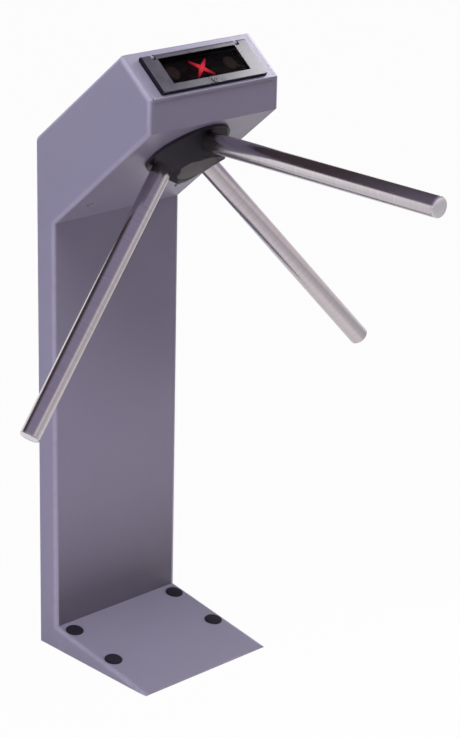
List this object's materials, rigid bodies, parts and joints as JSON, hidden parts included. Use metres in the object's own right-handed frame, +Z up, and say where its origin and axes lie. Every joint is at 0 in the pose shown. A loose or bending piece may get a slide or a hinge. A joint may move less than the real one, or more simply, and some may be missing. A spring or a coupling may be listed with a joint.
{
  "type": "tripod turnstile",
  "caption": "Tripod turnstile: slim L-shaped steel housing, inclined rotor with tube arms, raised display lid and a working lock and index mechanism inside.",
  "frame": {"origin": "centre of the floor anchor pattern, on the floor", "axes": "+Z up, -Y to the front where the top arm points, +X to the right when looking along +Y"},
  "size_m": [0.7368, 0.7272, 1.0428],
  "materials": {
    "body_paint": "satin grey paint",
    "head_trim": "fine satin",
    "stainless": "polished stainless steel",
    "black_plastic": "fine grain",
    "window": "smooth tinted",
    "zinc": "zinc plated",
    "steel": "machined",
    "bronze": "turned",
    "board": "solder resist",
    "lamps": "moulded lens"
  },
  "bodies": {
    "housing": {"left_cheek": "body_paint", "right_cheek": "body_paint", "column_front": "body_paint", "underside_panel": "body_paint", "nose_panel": "body_paint", "top_deck": "body_paint", "rear_cover": "body_paint", "cover_screws": "zinc", "foot_cover": "body_paint", "anchor_caps": "black_plastic", "base_plate": "zinc", "base_gussets": "zinc", "cable_grommet": "black_plastic", "spine": "zinc", "head_bracket": "zinc", "mechanism_plate": "zinc", "plate_posts": "steel", "frame_screws": "zinc", "bearing_housing": "steel", "rotor_bearings": "steel", "index_sleeve": "bronze", "spring_post": "zinc", "pawl_pins": "steel", "solenoids": "zinc", "left_return_spring": "steel", "right_return_spring": "steel", "damper_body": "black_plastic", "sensor_bracket": "zinc", "rotation_sensor": "black_plastic", "controller_board": "board", "power_supply": "zinc", "index_spring": "steel"},
    "rotor": {"hub_body": "black_plastic", "hub_cap": "black_plastic", "hub_bolt": "zinc", "drive_pins": "steel", "spindle": "steel", "spindle_key": "steel", "lock_wheel": "steel", "main_gear": "steel", "encoder_disc": "black_plastic", "spindle_nut": "zinc", "left_arm": "stainless", "right_arm": "stainless", "top_arm": "stainless", "arm_plugs": "zinc", "arm_end_caps": "stainless", "arm_screws": "zinc"},
    "index_shaft": {"index_pinion": "steel", "index_crank": "zinc"},
    "damper_shaft": {"damper_pinion": "steel"},
    "left_lock": {"left_pawl": "steel"},
    "right_lock": {"right_pawl": "steel"},
    "left_plunger_body": {"left_plunger": "steel"},
    "right_plunger_body": {"right_plunger": "steel"},
    "lid": {"display_lid": "head_trim", "display_window": "window", "led_board": "lamps", "lock_barrel": "zinc"},
    "key": {"lock_plug": "zinc"}
  },
  "joints": [
    {"name": "rotor_turn", "type": "hinge", "parent": "housing", "child": "rotor", "pos_m": [0, -0.08957, 0.88225], "axis": [0, 0.6428, 0.766], "continuous": true},
    {"name": "index_turn", "type": "hinge", "parent": "housing", "child": "index_shaft", "pos_m": [0, -0.00504, 0.88965], "axis": [0, 0.6428, 0.766], "continuous": true, "deforming": ["index_spring"]},
    {"name": "damper_turn", "type": "hinge", "parent": "housing", "child": "damper_shaft", "pos_m": [0, -0.09409, 0.96437], "axis": [0, 0.6428, 0.766], "continuous": true},
    {"name": "right_lock_swing", "type": "hinge", "parent": "housing", "child": "right_lock", "pos_m": [0.048, -0.07705, 0.95007], "axis": [0, 0.6428, 0.766], "range_deg": [0, 9], "stiffness_Nm_per_rad": 0.3},
    {"name": "left_lock_swing", "type": "hinge", "parent": "housing", "child": "left_lock", "pos_m": [-0.048, -0.07705, 0.95007], "axis": [0, -0.6428, -0.766], "range_deg": [0, 9], "stiffness_Nm_per_rad": 0.3},
    {"name": "right_plunger_slide", "type": "slide", "parent": "housing", "child": "right_plunger_body", "axis": [-1, 0, 0], "range_m": [0, 0.013], "deforming": ["right_return_spring"]},
    {"name": "left_plunger_slide", "type": "slide", "parent": "housing", "child": "left_plunger_body", "axis": [1, 0, 0], "range_m": [0, 0.013], "deforming": ["left_return_spring"]},
    {"name": "lid_hinge", "type": "hinge", "parent": "housing", "child": "lid", "pos_m": [0, -0.10036, 1.03537], "axis": [-1, 0, 0], "range_deg": [0, 75]},
    {"name": "key_turn", "type": "hinge", "parent": "lid", "child": "key", "pos_m": [0, -0.14987, 1.00033], "axis": [0, -0.6347, 0.7727], "range_deg": [0, 90]}
  ],
  "couplings": [
    {"joint": "index_turn", "follows": "rotor_turn", "ratio": -3},
    {"joint": "damper_turn", "follows": "rotor_turn", "ratio": -4},
    {"joint": "right_plunger_slide", "follows": "right_lock_swing", "m_per_rad": 0.078},
    {"joint": "left_plunger_slide", "follows": "left_lock_swing", "m_per_rad": 0.078}
  ]
}
